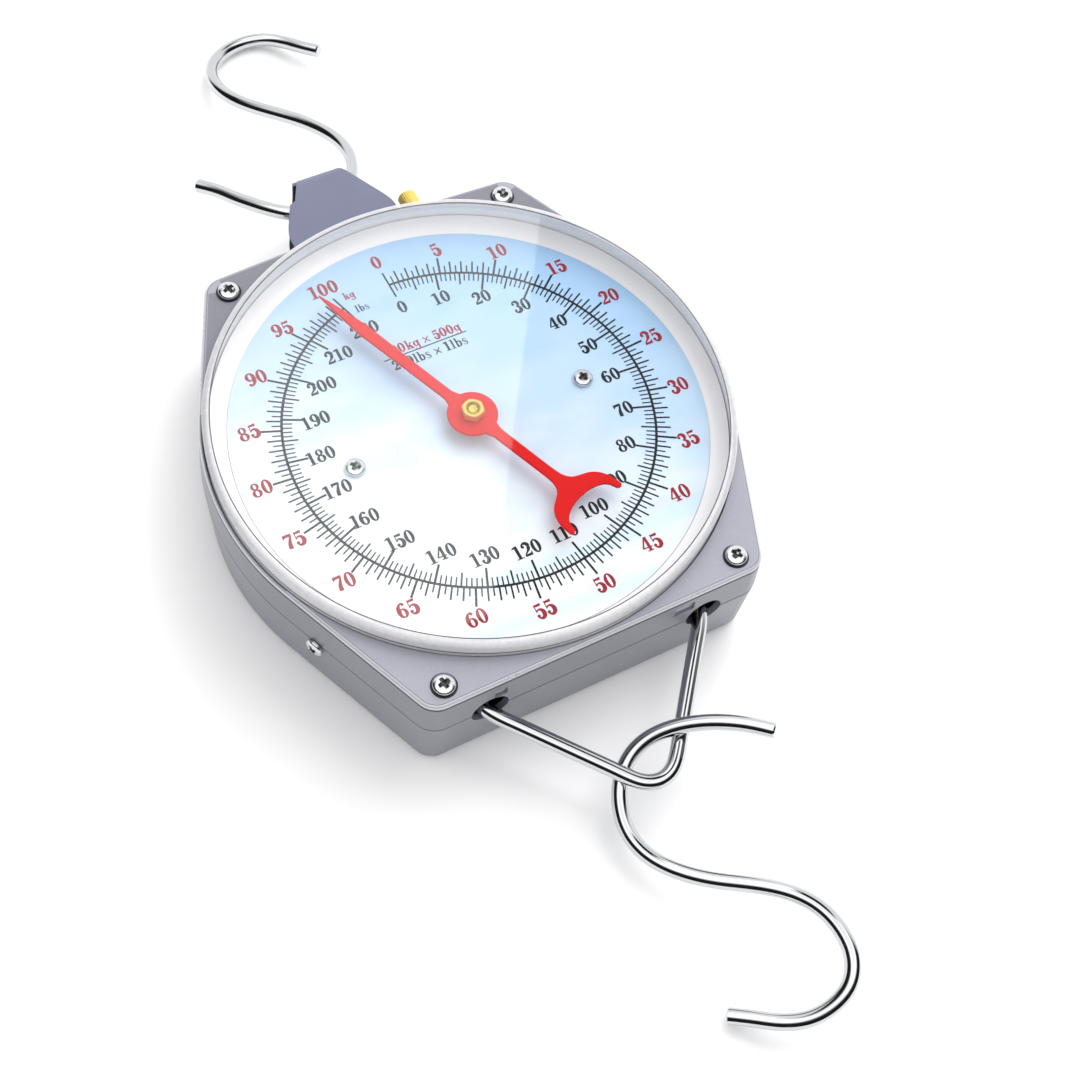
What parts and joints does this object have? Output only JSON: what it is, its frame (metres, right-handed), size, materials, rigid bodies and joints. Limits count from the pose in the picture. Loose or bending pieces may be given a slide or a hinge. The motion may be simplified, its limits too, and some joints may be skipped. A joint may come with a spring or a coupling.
{
  "type": "hanging spring scale",
  "caption": "Dial hanging scale with a round clear-covered dial in a two-shell metal case, a folded strap hanger, a wire load bail and S-shaped hooks.",
  "frame": {"origin": "on the flat back of the case, under the pointer's axis", "axes": "+Z out of the dial, +Y towards the hanger, +X to the dial's right"},
  "size_m": [0.2076, 0.5094, 0.0556],
  "materials": {
    "case_paint": "satin",
    "hanger_paint": "satin",
    "lens": "polished",
    "surround": "satin",
    "dial": "satin",
    "pointer_paint": "satin",
    "chrome_bar": "polished",
    "zinc_screw": "polished",
    "brass": "machined",
    "frame_steel": "satin",
    "spring_steel": "satin",
    "guide_nylon": "satin"
  },
  "bodies": {
    "case": {"back_shell": "case_paint", "case_screw_low_left": "zinc_screw", "case_screw_low_right": "zinc_screw", "case_screw_top_left": "zinc_screw", "case_screw_top_right": "zinc_screw", "cover_lens": "lens", "dial_plate": "dial", "dial_post_left": "frame_steel", "dial_post_right": "frame_steel", "dial_screw_left": "zinc_screw", "dial_screw_right": "zinc_screw", "dial_surround": "surround", "frame_front": "frame_steel", "frame_pillar_1": "frame_steel", "frame_pillar_2": "frame_steel", "frame_pillar_3": "frame_steel", "frame_pillar_4": "frame_steel", "frame_rear": "frame_steel", "frame_screw_1": "zinc_screw", "frame_screw_2": "zinc_screw", "frame_screw_3": "zinc_screw", "frame_screw_4": "zinc_screw", "front_bush": "brass", "front_shell": "case_paint", "hanger_block": "frame_steel", "hanger_bolt_left": "zinc_screw", "hanger_bolt_right": "zinc_screw", "hanger_bracket": "hanger_paint", "hanger_nut_left": "zinc_screw", "hanger_nut_right": "zinc_screw", "hanger_spacer_left": "frame_steel", "hanger_spacer_right": "frame_steel", "rack_guide": "guide_nylon", "rear_bush": "brass", "side_screw_left": "zinc_screw", "side_screw_right": "zinc_screw", "spring_left": "spring_steel", "spring_right": "spring_steel"},
    "load_yoke": {"load_yoke": "frame_steel", "rack": "frame_steel", "rack_screw": "zinc_screw", "spring_plug_lower_left": "frame_steel", "spring_plug_lower_right": "frame_steel"},
    "bail": {"bail": "chrome_bar"},
    "lower_hook": {"lower_hook": "chrome_bar"},
    "upper_hook": {"upper_hook": "chrome_bar"},
    "pointer_arbor": {"arbor": "frame_steel", "pinion": "brass", "pointer": "pointer_paint", "pointer_collar": "brass", "pointer_nut": "brass"},
    "spring_crossbar": {"spring_crossbar": "frame_steel", "spring_plug_upper_left": "frame_steel", "spring_plug_upper_right": "frame_steel"},
    "zero_adjuster": {"zero_adjust_screw": "brass"}
  },
  "joints": [
    {"name": "load_slide", "type": "slide", "parent": "case", "child": "load_yoke", "axis": [0, -1, 0], "range_m": [0, 0.0382], "stiffness_N_per_m": 27300, "deforming": ["spring_left", "spring_right"]},
    {"name": "pointer_turn", "type": "hinge", "parent": "case", "child": "pointer_arbor", "pos_m": [0, 0, 0.03], "axis": [0, 0, -1], "range_deg": [0, 365]},
    {"name": "bail_tilt", "type": "hinge", "parent": "load_yoke", "child": "bail", "pos_m": [0, -0.056, 0.03], "axis": [-1, 0, 0], "range_deg": [0, 9]},
    {"name": "lower_hook_swing", "type": "hinge", "parent": "bail", "child": "lower_hook", "pos_m": [0.003, -0.142, 0.028], "axis": [1, 0, 0], "range_deg": [-3, 85]},
    {"name": "upper_hook_swing", "type": "hinge", "parent": "case", "child": "upper_hook", "pos_m": [0, 0.134, 0.0295], "axis": [1, 0, 0], "range_deg": [0, 20]},
    {"name": "zero_adjust_turn", "type": "hinge", "parent": "case", "child": "zero_adjuster", "pos_m": [0.0284, 0.08, 0.038], "axis": [0, 1, 0], "range_deg": [-360, 360]},
    {"name": "crossbar_slide", "type": "slide", "parent": "case", "child": "spring_crossbar", "axis": [0, 1, 0], "range_m": [-0.0007, 0.0007]}
  ],
  "couplings": [
    {"joint": "pointer_turn", "follows": "load_slide", "rad_per_m": 166.67},
    {"joint": "zero_adjust_turn", "follows": "crossbar_slide", "rad_per_m": 8976}
  ]
}
